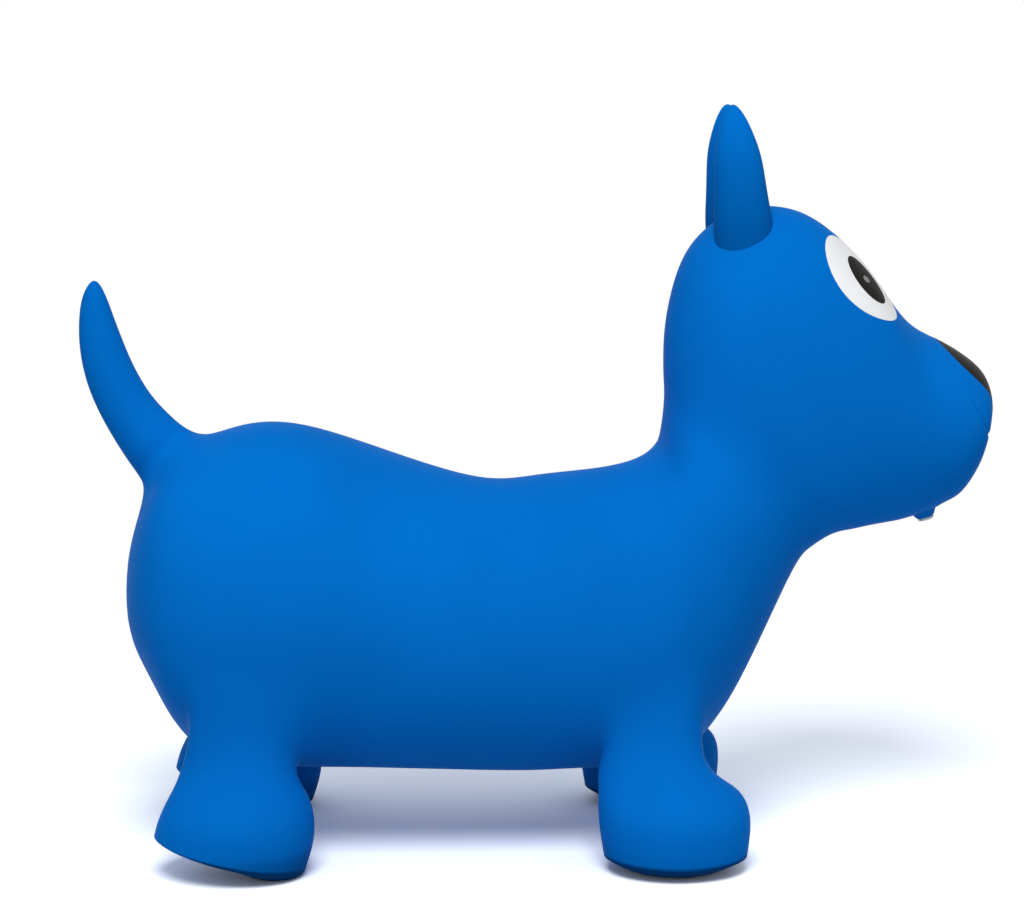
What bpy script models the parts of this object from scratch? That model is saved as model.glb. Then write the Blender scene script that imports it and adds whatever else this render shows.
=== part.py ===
"""A bouncy ride-on dog: a hollow moulded skin on four stub legs, with painted eyes and nose and an air valve.

Units are metres, +Z up. The dog faces +X, its left side is +Y, and it stands on Z = 0. The origin is under
the middle of its length. The skin is one moulded wall; it is divided here at its creases into stiff zones and
the soft zones between them that flex: neck, legs, and the roots of the ears and tail.
"""

import math

import bmesh
import bpy
import numpy as np
from mathutils import Matrix, Vector

# Overall sizes.
LENGTH = 0.600
HEIGHT = 0.4865
BARREL_WIDTH = 0.210
WALL = 0.003
GAP = 0.0003
OVERRUN = 0.300
MERGE = 0.00001

# The body's ribs, from rump to muzzle. Each row places a rib's back (or top) point and its belly (or throat)
# point, along the length and up the height, and then gives its width.
RIB_SHARES = (
    (0.055, 0.421, 0.056, 0.279, 0.44),
    (0.071, 0.488, 0.077, 0.224, 0.73),
    (0.097, 0.539, 0.101, 0.169, 0.90),
    (0.135, 0.558, 0.129, 0.131, 0.97),
    (0.178, 0.571, 0.190, 0.108, 1.00),
    (0.242, 0.570, 0.256, 0.103, 0.99),
    (0.337, 0.533, 0.340, 0.102, 0.96),
    (0.435, 0.497, 0.435, 0.098, 0.93),
    (0.501, 0.500, 0.502, 0.097, 0.92),
    (0.568, 0.509, 0.570, 0.098, 0.92),
    (0.611, 0.523, 0.642, 0.099, 0.89),
    (0.629, 0.540, 0.680, 0.140, 0.84),
    (0.635, 0.560, 0.721, 0.217, 0.75),
    (0.638, 0.603, 0.774, 0.355, 0.64),
    (0.637, 0.636, 0.799, 0.400, 0.60),
    (0.637, 0.685, 0.822, 0.418, 0.61),
    (0.643, 0.739, 0.840, 0.424, 0.64),
    (0.662, 0.805, 0.853, 0.427, 0.66),
    (0.701, 0.850, 0.865, 0.430, 0.66),
    (0.746, 0.864, 0.879, 0.433, 0.65),
    (0.790, 0.853, 0.893, 0.436, 0.63),
    (0.829, 0.819, 0.906, 0.440, 0.61),
    (0.860, 0.778, 0.921, 0.446, 0.58),
    (0.885, 0.735, 0.934, 0.452, 0.55),
    (0.910, 0.702, 0.947, 0.461, 0.52),
    (0.9395, 0.6825, 0.961, 0.4715, 0.50),
    (0.966, 0.663, 0.973, 0.4915, 0.46),
    (0.986, 0.641, 0.9818, 0.5165, 0.38),
    (0.9945, 0.6155, 0.9878, 0.548, 0.24),
)
RUMP_END_SHARES = (0.048, 0.353)
MUZZLE_END_SHARES = (0.9968, 0.586)
RIB_POINTS = 16
FIT_ROUNDS = 6
LOOSE_SHARE = 0.0
INSIDE_SHARE = 0.3

# Legs grow from three neighbouring ribs each, out of the lower flanks.
REAR_LEG_RIBS = (3, 4, 5)
FRONT_LEG_RIBS = (9, 10, 11)
LEG_SECTORS = (5, 6, 7)
TRACK = 0.174
FOOT_LENGTH = 0.099
FOOT_WIDTH = 0.076
ANKLE_SHARE = 0.1316
ANKLE_HEIGHT = ANKLE_SHARE * HEIGHT
ANKLE_TILT = 0.010
FRONT_FOOT_SHARE = 0.6383
REAR_FOOT_SHARE = 0.1700
REAR_SOLE_SLOPE = -0.230
REAR_HEEL_LIFT = 0.0063
SOLE_DIP = 0.0015

# Rings of a leg, downwards: height, shift forward, length, shift outward and width, as shares of the sizes
# above. The sole's ring lies inside the rim, below it.
FRONT_LEG_SHARES = (
    (1.04, -0.140, 0.69, -0.20, 0.62),
    (0.80, -0.045, 0.90, -0.06, 0.86),
    (0.52, -0.005, 0.98, 0.00, 1.00),
    (0.16, 0.004, 0.93, 0.00, 0.95),
)
REAR_LEG_SHARES = (
    (1.04, 0.030, 0.73, -0.20, 0.62),
    (0.80, 0.040, 0.88, -0.06, 0.86),
    (0.52, 0.018, 0.98, 0.00, 1.00),
    (0.14, -0.030, 0.97, 0.00, 0.95),
)
FRONT_SOLE_SHARES = (0.03, 0.000, 0.60, 0.00, 0.62)
REAR_SOLE_SHARES = (0.03, 0.140, 0.50, 0.00, 0.60)

# Cuts between the zones.
NECK_PIVOT_SHARES = (0.7192, 0.4800)
NECK_SLOPE = math.radians(31.3)
NECK_ZONE = 0.024
FOOT_TOP_SHARE = 0.50
LEG_CUT_SHARE = 0.383
LEG_CUT_SLOPE = 0.55
LEG_CUT_INNER = 0.012

# Ears. A place is given as shares: along the length, out over the half width, and up the height. The rows are
# height up the ear and width of it, as shares.
EAR_FOOT_SHARES = (0.7133, 0.2238, 0.7821)
EAR_TIP_SHARES = (0.7062, 0.2286, 1.0)
EAR_DEPTH = 0.0374
EAR_BREADTH = 0.027
EAR_WALL = 0.0025
EAR_SPLIT_SHARE = 0.406
EAR_PIVOT_SHARE = 0.66
EAR_POINTS = 12
EAR_SHARES = (
    (0.00, 0.92),
    (0.14, 0.98),
    (0.28, 1.00),
    (0.44, 0.97),
    (0.58, 0.89),
    (0.71, 0.77),
    (0.84, 0.57),
    (0.94, 0.33),
)

# Tail: stations along its bend, as shares of the length, the height and the breadth at its root.
TAIL_BREADTH = 0.058
TAIL_SHARES = (
    (0.1425, 0.4728, 1.000),
    (0.1167, 0.5015, 0.931),
    (0.0930, 0.5297, 0.776),
    (0.0707, 0.5605, 0.672),
    (0.0520, 0.5924, 0.614),
    (0.0375, 0.6275, 0.569),
    (0.0275, 0.6635, 0.524),
    (0.0212, 0.6978, 0.441),
    (0.0183, 0.7307, 0.317),
    (0.0177, 0.7533, 0.200),
)
TAIL_TIP_SHARES = (0.0183, 0.0, 0.7677)
TAIL_WALL = 0.0025
TAIL_SPLIT_STATION = 3
TAIL_POINTS = 12

# Painted eyes and nose: films that lie on the skin. The eyes' widths are shares of the barrel's width, so
# that they keep clear of each other.
PAINT_LIFT = 0.0003
PAINT = 0.0006
EYE_SHARES = (0.8450, 0.3000, 0.7698)
EYE_PITCH = math.radians(38.5)
EYE_TURN = math.radians(27.0)
EYE_HEIGHT = 0.071
EYE_WIDTH_SHARE = 0.257
PUPIL_HEIGHT = 0.038
PUPIL_WIDTH_SHARE = 0.129
PUPIL_DROP = 0.003
OUTLINE_POINTS = 32
PUPIL_POINTS = 20
GLINT_SIZE = 0.0055
GLINT_SHIFT = 0.004
NOSE_SHARES = (0.9763, 0.0, 0.6350)
NOSE_PITCH = math.radians(38.0)
NOSE_LENGTH = 0.070
NOSE_WIDTH = 0.066
PAINT_REACH = 0.014

# Air valve in the chin.
VALVE_SHARES = (0.9267, 0.0, 0.4491)
VALVE_TILT = math.radians(18.7)
VALVE_POINTS = 24
SEAT_BASE_RADIUS = 0.0085
SEAT_FACE_RADIUS = 0.0060
SEAT_PROUD = 0.0042
SEAT_SLEEVE_RADIUS = 0.0058
SEAT_SLEEVE_DEPTH = 0.0100
SEAT_BORE_RADIUS = 0.0040
STOPPER_HEAD_RADIUS = 0.0054
STOPPER_HEAD = 0.0016
STOPPER_STEM_RADIUS = 0.0036
STOPPER_STEM = 0.0175
STOPPER_RIBS = 3
STOPPER_RIB = 0.0003
STOPPER_WAIST = 0.0008

BLUE = (0.004, 0.166, 0.560)
WHITE = (0.855, 0.855, 0.855)
BLACK = (0.022, 0.019, 0.018)
GREY = (0.300, 0.290, 0.280)
CLEAR = (0.780, 0.820, 0.860)


SIDES = ((1, "left"), (-1, "right"))


def clear_scene():
    for obj in list(bpy.data.objects):
        bpy.data.objects.remove(obj, do_unlink=True)


def new_collection(name):
    made = bpy.data.collections.new(name)
    bpy.context.scene.collection.children.link(made)
    return made


def material(name, colour, roughness):
    made = bpy.data.materials.new(name)
    made.use_nodes = True
    shader = made.node_tree.nodes["Principled BSDF"]
    shader.inputs["Base Color"].default_value = (*colour, 1.0)
    shader.inputs["Roughness"].default_value = roughness
    shader.inputs["Metallic"].default_value = 0.0
    return made


def add_object(name, mesh, collection):
    obj = bpy.data.objects.new(name, mesh)
    collection.objects.link(obj)
    return obj


def mesh_from_bmesh(name, bm):
    bmesh.ops.recalc_face_normals(bm, faces=bm.faces)
    mesh = bpy.data.meshes.new(name)
    bm.to_mesh(mesh)
    bm.free()
    return mesh


def solid_mesh(name, points, faces, creased=()):
    """A closed mesh from a loft's points and faces. An edge is creased where both its ends are in creased."""
    bm = bmesh.new()
    made = [bm.verts.new(point) for point in points]
    for face in faces:
        bm.faces.new([made[index] for index in face])
    bm.verts.index_update()
    crease = bm.edges.layers.float.new("crease_edge")
    for edge in bm.edges:
        if all(vert.index in creased for vert in edge.verts):
            edge[crease] = 1.0
    return mesh_from_bmesh(name, bm)


def evaluated_mesh(obj, name):
    bpy.context.view_layer.update()
    graph = bpy.context.evaluated_depsgraph_get()
    mesh = bpy.data.meshes.new_from_object(obj.evaluated_get(graph))
    mesh.name = name
    return mesh


def subdivide(obj):
    smooth = obj.modifiers.new("smooth form", "SUBSURF")
    smooth.levels = smooth.render_levels = 1


def boolean(obj, operation, cutter):
    modifier = obj.modifiers.new(f"{operation.lower()} {cutter.name}", "BOOLEAN")
    modifier.operation = operation
    modifier.object = cutter
    modifier.solver = "EXACT"


def hide_helper(obj):
    obj.hide_render = True
    obj.display_type = "WIRE"
    return obj


def bridge(first, second):
    """Quads between two closed rings of as many points."""
    count = len(first)
    return [
        (first[i], first[(i + 1) % count], second[(i + 1) % count], second[i]) for i in range(count)
    ]


def fan(ring, tip):
    return [(ring[i], ring[(i + 1) % len(ring)], tip) for i in range(len(ring))]


def along(share):
    return (share - 0.5) * LENGTH


def place(x_share, y_share, z_share, side=1):
    """A point from its shares of the length, the half width and the height."""
    return Vector((along(x_share), side * y_share * BARREL_WIDTH / 2, z_share * HEIGHT))


def rib_ring(row):
    """The points of one rib, from its back point round by the left flank to its belly and back."""
    back = place(row[0], 0, row[1])
    front = place(row[2], 0, row[3])
    middle, reach = (back + front) / 2, (back - front) / 2
    side = Vector((0, row[4] * BARREL_WIDTH / 2, 0))
    angles = (math.tau * k / RIB_POINTS for k in range(RIB_POINTS))
    return [middle + reach * math.cos(angle) + side * math.sin(angle) for angle in angles]


def leg_ring(foot_x, side, row, slope, tilt):
    """Eight points of a leg's ring, from its rear outer corner forwards and round by the inner side."""
    height, shift, length, lean, width = row
    middle = Vector((foot_x + shift * FOOT_LENGTH, TRACK / 2 + lean * FOOT_WIDTH, height * ANKLE_HEIGHT))
    ring = []
    for step in range(8):
        turn = math.radians(135 - 45 * step)
        forward, outward = math.cos(turn), math.sin(turn)
        x = forward * length * FOOT_LENGTH / 2
        y = outward * width * FOOT_WIDTH / 2
        point = middle + Vector((x, y, tilt * outward + slope * (x + shift * FOOT_LENGTH)))
        ring.append(Vector((point.x, side * point.y, point.z)))
    return ring


def add_leg(points, faces, rings, side, stations, foot_x, shares, sole, slope, lift):
    """One leg on the edge of the gap that its ribs leave in the flank. Returns its hip's and rim's points."""
    outer, middle, inner = (k if side > 0 else RIB_POINTS - k for k in LEG_SECTORS)
    rear, centre, front = stations
    loop = [
        rings[rear][outer], rings[centre][outer], rings[front][outer], rings[front][middle],
        rings[front][inner], rings[centre][inner], rings[rear][inner], rings[rear][middle],
    ]
    hip, rim = loop, []
    rim_number = len(shares) - 1
    for number, row in enumerate((*shares, sole)):
        pitched = slope * min(number / rim_number, 1)
        ring = leg_ring(foot_x, side, row, pitched, ANKLE_TILT if number == 0 else 0)
        if number >= rim_number:
            for point in ring:
                point.z = max(point.z + lift, -SOLE_DIP)
        below = list(range(len(points), len(points) + 8))
        points.extend(ring)
        faces.extend(bridge(loop, below))
        loop = below
        if number == rim_number:
            rim = below
    tip = len(points)
    points.append(Vector((foot_x + sole[1] * FOOT_LENGTH, side * TRACK / 2, -SOLE_DIP)))
    faces.extend((tip, loop[i], loop[(i + 1) % 8], loop[(i + 2) % 8]) for i in (1, 3, 5, 7))
    return hip, rim


def body_net():
    """Points on the body's surface, the faces between them, and the points of the four hips and sole rims."""
    points, faces = [], []
    rings = []
    for row in RIB_SHARES:
        rings.append(list(range(len(points), len(points) + RIB_POINTS)))
        points.extend(rib_ring(row))
    rear = (along(REAR_FOOT_SHARE), REAR_LEG_SHARES, REAR_SOLE_SHARES, REAR_SOLE_SLOPE, REAR_HEEL_LIFT)
    front = (along(FRONT_FOOT_SHARE), FRONT_LEG_SHARES, FRONT_SOLE_SHARES, 0, 0)
    legs = [
        (side, stations, form)
        for stations, form in ((REAR_LEG_RIBS, rear), (FRONT_LEG_RIBS, front))
        for side in (1, -1)
    ]
    open_sectors = set()
    for side, stations, _ in legs:
        for station in stations[:2]:
            for sector in LEG_SECTORS[:2]:
                open_sectors.add((station, sector if side > 0 else RIB_POINTS - 1 - sector))
    for station in range(len(rings) - 1):
        for sector, face in enumerate(bridge(rings[station], rings[station + 1])):
            if (station, sector) not in open_sectors:
                faces.append(face)
    for ring, (x_share, z_share) in ((rings[0], RUMP_END_SHARES), (rings[-1], MUZZLE_END_SHARES)):
        points.append(place(x_share, 0, z_share))
        faces.extend(fan(ring, len(points) - 1))
    hips, rims = set(), set()
    for side, stations, form in legs:
        hip, rim = add_leg(points, faces, rings, side, stations, *form)
        hips.update(hip)
        rims.update(rim)
    used = sorted({index for face in faces for index in face})
    number_of = {index: number for number, index in enumerate(used)}
    return (
        [points[index] for index in used],
        [tuple(number_of[index] for index in face) for face in faces],
        {number_of[index] for index in hips},
        {number_of[index] for index in rims},
    )


def smooth_limit(cage, faces, creased):
    """Where each point of a cage ends up on the smooth surface that subdivision makes of it."""
    neighbour_sum = np.zeros_like(cage)
    face_sum = np.zeros_like(cage)
    valence = np.zeros((len(cage), 1))
    edges = set()
    for face in faces:
        centre = cage[list(face)].mean(axis=0)
        for index in face:
            face_sum[index] += centre
            valence[index] += 1
        edges.update(tuple(sorted((face[i - 1], face[i]))) for i in range(len(face)))
    rim_sum = np.zeros_like(cage)
    for a, b in edges:
        neighbour_sum[a] += cage[b]
        neighbour_sum[b] += cage[a]
        if a in creased and b in creased:
            rim_sum[a] += cage[b]
            rim_sum[b] += cage[a]
    n = valence
    moved = (face_sum / n + (n * cage + neighbour_sum) / n + (n - 3) * cage) / n
    edge_points = (n * cage + neighbour_sum + 2 * face_sum) / 4
    limit = (n * n * moved + 4 * edge_points + face_sum) / (n * (n + 5))
    for index in creased:
        limit[index] = (4 * cage[index] + rim_sum[index]) / 6
    return limit


def fitted_cage(points, faces, creased, loose=()):
    """The cage whose smooth surface passes through the given points, apart from those in loose."""
    wanted = np.array(points, float)
    cage = wanted.copy()
    held = np.ones((len(cage), 1))
    held[list(loose)] = LOOSE_SHARE
    for _ in range(FIT_ROUNDS):
        cage += held * (wanted - smooth_limit(cage, faces, creased))
    return cage


def body_surfaces(helpers):
    """The outer surface of body, head and legs as one closed mesh, and the plainer face inside its wall."""
    points, faces, hips, rims = body_net()
    cage = fitted_cage(points, faces, rims, hips)
    surface = add_object("body_surface", solid_mesh("body cage", cage, faces, rims), helpers)
    subdivide(surface)
    surface.data = evaluated_mesh(surface, "body surface")
    surface.modifiers.clear()
    inside = grown(surface, helpers, "body_inside", -WALL)
    fewer = inside.modifiers.new("plainer inside", "DECIMATE")
    fewer.ratio = INSIDE_SHARE
    fewer.use_symmetry = True
    fewer.symmetry_axis = "Y"
    inside.data = evaluated_mesh(inside, "body inside")
    inside.modifiers.clear()
    return hide_helper(surface), inside


def grown(surface, helpers, name, distance):
    """The body's outer surface moved outwards, or inwards where distance is negative."""
    mesh = surface.data.copy()
    normals = [vert.normal.copy() for vert in mesh.vertices]
    for vert, normal in zip(mesh.vertices, normals):
        vert.co += normal * distance
    return hide_helper(add_object(name, mesh, helpers))


def block(helpers, name, low, high, turn=None, pivot=(0, 0, 0)):
    """A box between two corners, turned about the Y axis by turn at pivot."""
    bm = bmesh.new()
    size = Vector(high) - Vector(low)
    middle = (Vector(low) + Vector(high)) / 2
    bmesh.ops.create_cube(bm, size=1, matrix=Matrix.Translation(middle) @ Matrix.Diagonal((*size, 1)))
    if turn is not None:
        turned = Matrix.Translation(pivot) @ Matrix.Rotation(turn, 4, "Y")
        bmesh.ops.transform(bm, matrix=turned, verts=bm.verts)
    return hide_helper(add_object(name, mesh_from_bmesh(name, bm), helpers))


def prism(helpers, name, outline, x_low, x_high):
    """A bar along X whose section is an outline of (y, z) corners."""
    count = len(outline)
    points = [(x, y, z) for x in (x_low, x_high) for y, z in outline]
    faces = [tuple(range(count)), tuple(range(count, 2 * count))]
    faces += bridge(list(range(count)), list(range(count, 2 * count)))
    return hide_helper(add_object(name, solid_mesh(name, points, faces), helpers))


def oval_rod(helpers, name, middle, rotation, height, width, low, high, points=OUTLINE_POINTS):
    """An oval rod whose own Z is its axis. Its own X runs along its height and its own Y along its width."""
    bm = bmesh.new()
    bmesh.ops.create_cone(
        bm, cap_ends=True, segments=points, radius1=1, radius2=1, depth=1,
        matrix=Matrix.Translation(middle)
        @ rotation.to_4x4()
        @ Matrix.Translation((0, 0, (low + high) / 2))
        @ Matrix.Diagonal((height / 2, width / 2, high - low, 1)),
    )
    return hide_helper(add_object(name, mesh_from_bmesh(name, bm), helpers))


def turned(collection, name, profile):
    """A solid turned about its own Z from a profile of (radius, z), from its upper end to its lower end."""
    bm = bmesh.new()
    made = [bm.verts.new((radius, 0, z)) for radius, z in profile]
    for upper, lower in zip(made, made[1:]):
        bm.edges.new((upper, lower))
    mesh = bpy.data.meshes.new(name)
    bm.to_mesh(mesh)
    bm.free()
    obj = add_object(name, mesh, collection)
    screw = obj.modifiers.new("turned form", "SCREW")
    screw.steps = screw.render_steps = VALVE_POINTS
    screw.use_merge_vertices = True
    screw.merge_threshold = MERGE
    return obj


def skin_piece(name, shell, parts, skin, cuts):
    """A zone of the skin: the shell with a list of (operation, cutter) done to it."""
    obj = add_object(name, shell.copy(), parts)
    obj.data.materials.append(skin)
    for operation, cutter in cuts:
        boolean(obj, operation, cutter)
    return obj


def oval_ring(middle, forward, sideways, depth, breadth, count):
    ring = []
    for step in range(count):
        turn = math.tau * step / count
        ahead, aside = depth / 2 * math.cos(turn), breadth / 2 * math.sin(turn)
        ring.append(middle + forward * ahead + sideways * aside)
    return ring


def lofted(helpers, name, rings, tip, smooth):
    """A closed form through rings of as many points, flat at its first ring and closed at its tip."""
    count = len(rings[0])
    points = [point for ring in rings for point in ring] + [tip]
    order = [list(range(start, start + count)) for start in range(0, count * len(rings), count)]
    faces = [tuple(order[0])] + fan(order[-1], len(points) - 1)
    for lower, upper in zip(order, order[1:]):
        faces += bridge(lower, upper)
    creased = set(order[0])
    cage = fitted_cage(points, faces, creased)
    if smooth:
        obj = add_object(name, solid_mesh(name, cage, faces, creased), helpers)
        subdivide(obj)
    else:
        plain = solid_mesh(name, smooth_limit(cage, faces, creased), faces)
        obj = add_object(name, plain, helpers)
    return hide_helper(obj)


def ear_form(helpers, name, side, inset):
    foot, tip = place(*EAR_FOOT_SHARES, side), place(*EAR_TIP_SHARES, side)
    forward, sideways = Vector((1, 0, 0)), Vector((0, side, 0))
    rings = []
    for height_share, width_share in EAR_SHARES:
        middle = foot.lerp(tip, height_share)
        depth = EAR_DEPTH * width_share - 2 * inset
        breadth = EAR_BREADTH * width_share - 2 * inset
        if not rings:
            middle.z -= inset
        if depth > 0 and breadth > 0:
            rings.append(oval_ring(middle, forward, sideways, depth, breadth, EAR_POINTS))
    if inset:
        rings = rings[:-1]
    top = tip - (tip - foot).normalized() * (2 * inset)
    return lofted(helpers, name, rings, top, not inset)


def ear_split(side):
    return place(*EAR_FOOT_SHARES, side).lerp(place(*EAR_TIP_SHARES, side), EAR_SPLIT_SHARE)


def tail_middles():
    return [place(x_share, 0, z_share) for x_share, z_share, _ in TAIL_SHARES]


def tail_direction(station):
    middles = [*tail_middles(), place(*TAIL_TIP_SHARES)]
    return (middles[station + 1] - middles[max(station - 1, 0)]).normalized()


def tail_form(helpers, name, inset):
    rings = []
    sideways = Vector((0, 1, 0))
    for station, (middle, (_, _, share)) in enumerate(zip(tail_middles(), TAIL_SHARES)):
        forward = tail_direction(station)
        width = share * TAIL_BREADTH - 2 * inset
        if station == 0:
            middle = middle - forward * inset
        if width > inset:
            rings.append(oval_ring(middle, sideways.cross(forward), sideways, width, width, TAIL_POINTS))
    tip = place(*TAIL_TIP_SHARES)
    if inset:
        tip = tail_middles()[len(rings) - 1] + tail_direction(len(rings) - 1) * inset
    return lofted(helpers, name, rings, tip, not inset)


def neck_pivot():
    return place(NECK_PIVOT_SHARES[0], 0, NECK_PIVOT_SHARES[1])


def make_zones(parts, helpers, surface, inside, skin):
    """Trunk, neck, head, legs and feet, cut from the one wall."""
    inside.data.flip_normals()
    bm = bmesh.new()
    bm.from_mesh(surface.data)
    bm.from_mesh(inside.data)
    shell = bpy.data.meshes.new("skin wall")
    bm.to_mesh(shell)
    bm.free()
    inside.data.flip_normals()

    half = NECK_ZONE / 2
    far, near = 2 * OVERRUN, OVERRUN
    neck_block, head_block, trunk_block = (
        block(helpers, name, low, high, NECK_SLOPE, neck_pivot())
        for name, low, high in (
            ("neck_block", (-near, -near, -half + GAP), (near, near, half - GAP)),
            ("head_block", (-near, -near, half), (near, near, far)),
            ("trunk_block", (-far, -near, -far), (near, near, -half)),
        )
    )
    cut_base = LEG_CUT_SHARE * ANKLE_HEIGHT
    foot_top = FOOT_TOP_SHARE * ANKLE_HEIGHT
    wedges = []
    for side, word in SIDES:
        outline = [
            (side * LEG_CUT_INNER, -OVERRUN),
            (side * OVERRUN, -OVERRUN),
            (side * OVERRUN, cut_base + LEG_CUT_SLOPE * OVERRUN + GAP),
            (side * LEG_CUT_INNER, cut_base + LEG_CUT_SLOPE * LEG_CUT_INNER + GAP),
        ]
        wedges.append(prism(helpers, f"under_cut_{word}", outline, -OVERRUN, OVERRUN))

    tail_way = tail_form(helpers, "tail_air_way", 2 * TAIL_WALL)
    ear_ways = [ear_form(helpers, f"ear_air_way_{word}", side, 2 * EAR_WALL) for side, word in SIDES]
    hole_ends = (-SEAT_SLEEVE_DEPTH, SEAT_SLEEVE_DEPTH)
    valve_hole = valve_rod(helpers, "valve_hole", SEAT_SLEEVE_RADIUS + GAP, *hole_ends)

    cuts = [("INTERSECT", trunk_block), *(("DIFFERENCE", cutter) for cutter in (*wedges, tail_way))]
    skin_piece("trunk", shell, parts, skin, cuts)
    skin_piece("neck", shell, parts, skin, [("INTERSECT", neck_block)])
    cuts = [("INTERSECT", head_block), *(("DIFFERENCE", cutter) for cutter in (*ear_ways, valve_hole))]
    skin_piece("head", shell, parts, skin, cuts)

    middle_x = along((FRONT_FOOT_SHARE + REAR_FOOT_SHARE) / 2)
    inner_y = LEG_CUT_INNER + FOOT_WIDTH / 4
    for end, x_low, x_high in (("rear", -LENGTH, middle_x), ("front", middle_x, LENGTH)):
        for side, word in SIDES:
            outline = [
                (side * inner_y, foot_top + GAP),
                (side * OVERRUN, foot_top + GAP),
                (side * OVERRUN, cut_base + LEG_CUT_SLOPE * OVERRUN),
                (side * inner_y, cut_base + LEG_CUT_SLOPE * inner_y),
            ]
            leg_block = prism(helpers, f"leg_block_{end}_{word}", outline, x_low, x_high)
            skin_piece(f"leg_{end}_{word}", shell, parts, skin, [("INTERSECT", leg_block)])
            outline = [(0, 0), (side * OVERRUN, 0), (side * OVERRUN, foot_top), (0, foot_top)]
            foot_block = prism(helpers, f"foot_block_{end}_{word}", outline, x_low, x_high)
            skin_piece(f"foot_{end}_{word}", shell, parts, skin, [("INTERSECT", foot_block)])
    bpy.data.meshes.remove(shell)


def make_ears(parts, helpers, lifted, skin):
    split_z = ear_split(1).z
    upper = block(helpers, "above_ear_split", (0, -OVERRUN, split_z + GAP), (OVERRUN, OVERRUN, 2 * HEIGHT))
    lower = block(helpers, "below_ear_split", (0, -OVERRUN, 0), (OVERRUN, OVERRUN, split_z))
    for side, word in SIDES:
        outer = ear_form(helpers, f"ear_outside_{word}", side, 0)
        inner = ear_form(helpers, f"ear_inside_{word}", side, EAR_WALL)
        form = evaluated_mesh(outer, f"ear {word}")
        for name, half in ((f"ear_{word}", upper), (f"ear_root_{word}", lower)):
            cuts = [("DIFFERENCE", inner), ("DIFFERENCE", lifted), ("INTERSECT", half)]
            skin_piece(name, form, parts, skin, cuts)


def make_tail(parts, helpers, lifted, skin):
    outer = tail_form(helpers, "tail_outside", 0)
    inner = tail_form(helpers, "tail_inside", TAIL_WALL)
    form = evaluated_mesh(outer, "tail form")
    middle = tail_middles()[TAIL_SPLIT_STATION]
    forward = tail_direction(TAIL_SPLIT_STATION)
    turn = math.atan2(forward.x, forward.z)
    reach = OVERRUN
    upper = block(helpers, "beyond_tail_split", (-reach, -reach, GAP), (reach, reach, reach), turn, middle)
    lower = block(helpers, "before_tail_split", (-reach, -reach, -reach), (reach, reach, 0), turn, middle)
    for name, half in (("tail", upper), ("tail_root", lower)):
        cuts = [("DIFFERENCE", inner), ("DIFFERENCE", lifted), ("INTERSECT", half)]
        skin_piece(name, form, parts, skin, cuts)


def facing(pitch, turn):
    """A rotation whose Z looks out of a sloping face: pitched up from +X, then turned to a side about Z."""
    return Matrix.Rotation(turn, 3, "Z") @ Matrix.Rotation(math.pi / 2 - pitch, 3, "Y")


def film(name, parts, finish, film_top, film_foot, shape, holes=()):
    obj = add_object(name, film_top.data.copy(), parts)
    obj.data.materials.clear()
    obj.data.materials.append(finish)
    boolean(obj, "INTERSECT", shape)
    boolean(obj, "DIFFERENCE", film_foot)
    for hole in holes:
        boolean(obj, "DIFFERENCE", hole)


def make_paint(parts, helpers, surface, lifted, white, black, grey):
    top = grown(surface, helpers, "paint_top", PAINT_LIFT + PAINT)
    eye_width, pupil_width = EYE_WIDTH_SHARE * BARREL_WIDTH, PUPIL_WIDTH_SHARE * BARREL_WIDTH
    for side, word in SIDES:
        look = facing(EYE_PITCH, side * EYE_TURN)
        middle = place(*EYE_SHARES, side)
        pupil_at = middle + look @ Vector((PUPIL_DROP, 0, 0))
        glint_at = pupil_at + look @ Vector((0, side * GLINT_SHIFT / 2, 0))
        reach = (-PAINT_REACH, PAINT_REACH)
        eye = oval_rod(helpers, f"eye_outline_{word}", middle, look, EYE_HEIGHT, eye_width, *reach)
        rods = {}
        for part, at, tall, wide in (
            ("pupil", pupil_at, PUPIL_HEIGHT, pupil_width),
            ("glint", glint_at, GLINT_SIZE, GLINT_SIZE),
        ):
            for use, room in (("outline", 0), ("room", 2 * GAP)):
                rods[part, use] = oval_rod(
                    helpers, f"{part}_{use}_{word}", at, look, tall + room, wide + room, *reach, PUPIL_POINTS
                )
        film(f"eye_white_{word}", parts, white, top, lifted, eye, [rods["pupil", "room"]])
        film(f"pupil_{word}", parts, black, top, lifted, rods["pupil", "outline"], [rods["glint", "room"]])
        film(f"eye_glint_{word}", parts, grey, top, lifted, rods["glint", "outline"])
    look = facing(NOSE_PITCH, 0)
    reach = (-2 * PAINT_REACH, PAINT_REACH)
    nose = oval_rod(helpers, "nose_outline", place(*NOSE_SHARES), look, NOSE_LENGTH, NOSE_WIDTH, *reach)
    film("nose", parts, black, top, lifted, nose)


def valve_axis():
    """A rotation whose Z points out of the valve, down and forwards."""
    return Matrix.Rotation(math.pi - VALVE_TILT, 3, "Y")


def valve_rod(helpers, name, radius, low, high):
    at, across = place(*VALVE_SHARES), 2 * radius
    return oval_rod(helpers, name, at, valve_axis(), across, across, low, high, VALVE_POINTS)


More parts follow.
